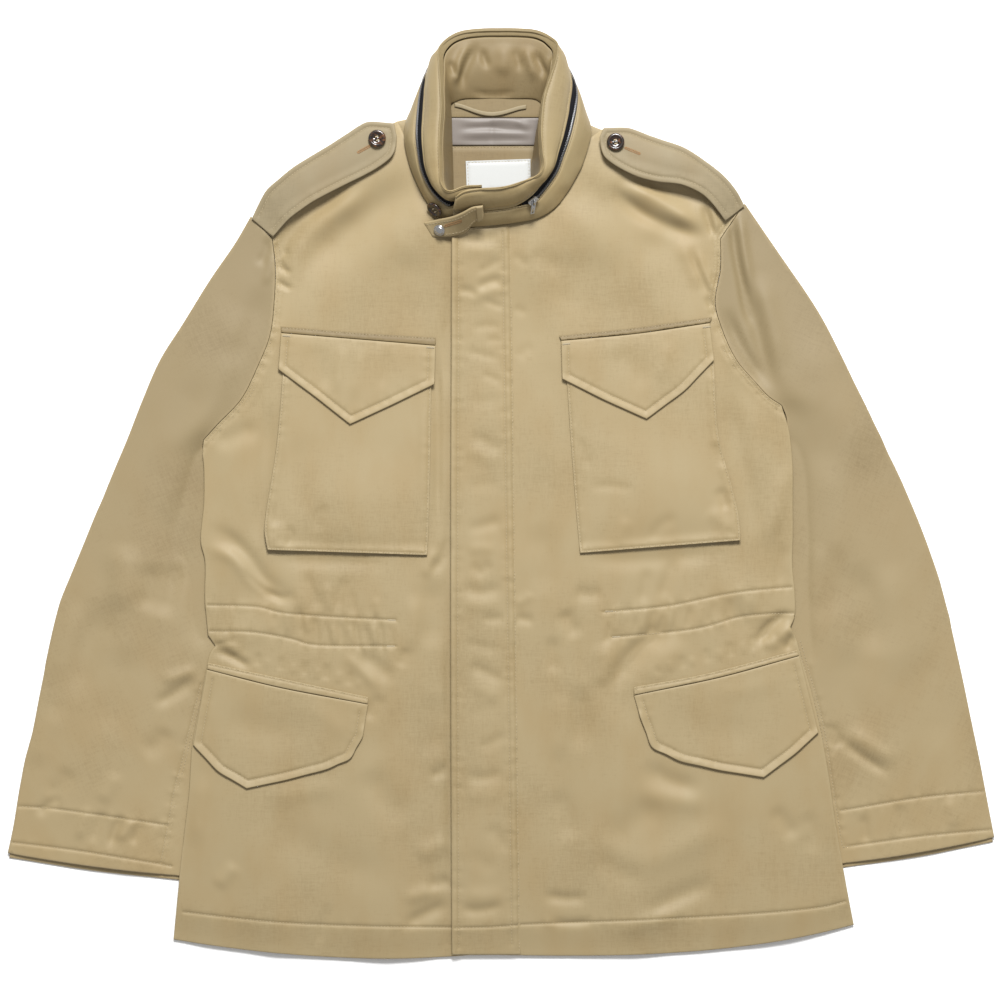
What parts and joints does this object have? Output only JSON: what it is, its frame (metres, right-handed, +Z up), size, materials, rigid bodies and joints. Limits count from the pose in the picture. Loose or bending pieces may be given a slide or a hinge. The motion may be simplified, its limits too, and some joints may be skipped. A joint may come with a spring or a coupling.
{
  "type": "field jacket",
  "caption": "Laid-flat field jacket with flap pockets, shoulder straps, a covered front and a zipped stand-up collar.",
  "frame": {"origin": "middle of the jacket's outline, on the surface that it lies on", "axes": "+Z up off the surface, +Y from the hem to the collar, +X to the wearer's left sleeve"},
  "size_m": [0.937, 0.882, 0.055],
  "materials": {
    "cloth": "tan cotton sateen, slight sheen, washed",
    "satin_lining": "taupe satin",
    "label": "plain white woven label, blank",
    "buttons": "dark tortoiseshell, polished",
    "metal": "polished nickel",
    "zip_tape": "near-black woven tape with metal teeth"
  },
  "bodies": {
    "jacket": {"back": "cloth", "chest_flap_left": "cloth", "chest_flap_right": "cloth", "chest_pocket_left": "cloth", "chest_pocket_right": "cloth", "chest_strip_left": "cloth", "chest_strip_right": "cloth", "collar_button": "buttons", "collar_inner": "cloth", "collar_lower": "cloth", "collar_upper": "cloth", "epaulette_button_left": "buttons", "epaulette_button_right": "buttons", "epaulette_left": "cloth", "epaulette_right": "cloth", "front_left": "cloth", "front_right": "cloth", "hanger_loop": "cloth", "lower_flap_left": "cloth", "lower_flap_right": "cloth", "lower_welt_left": "cloth", "lower_welt_right": "cloth", "neck_label": "label", "neck_lining": "satin_lining", "neck_strip": "cloth", "placket": "cloth", "sleeve_left_top": "cloth", "sleeve_left_under": "cloth", "sleeve_right_top": "cloth", "sleeve_right_under": "cloth", "tab_button": "metal", "tab_keeper": "cloth", "throat_tab": "cloth", "yoke_facing": "cloth", "zip_band": "zip_tape", "zip_slider": "metal"},
    "zip_pull": {"zip_pull": "metal"}
  },
  "joints": [
    {"name": "zip_pull_swing", "type": "hinge", "parent": "jacket", "child": "zip_pull", "pos_m": [0.03104, 0.27471, 0.0363], "axis": [-0.9251, -0.1602, 0.3442], "range_deg": [0, 110]}
  ]
}
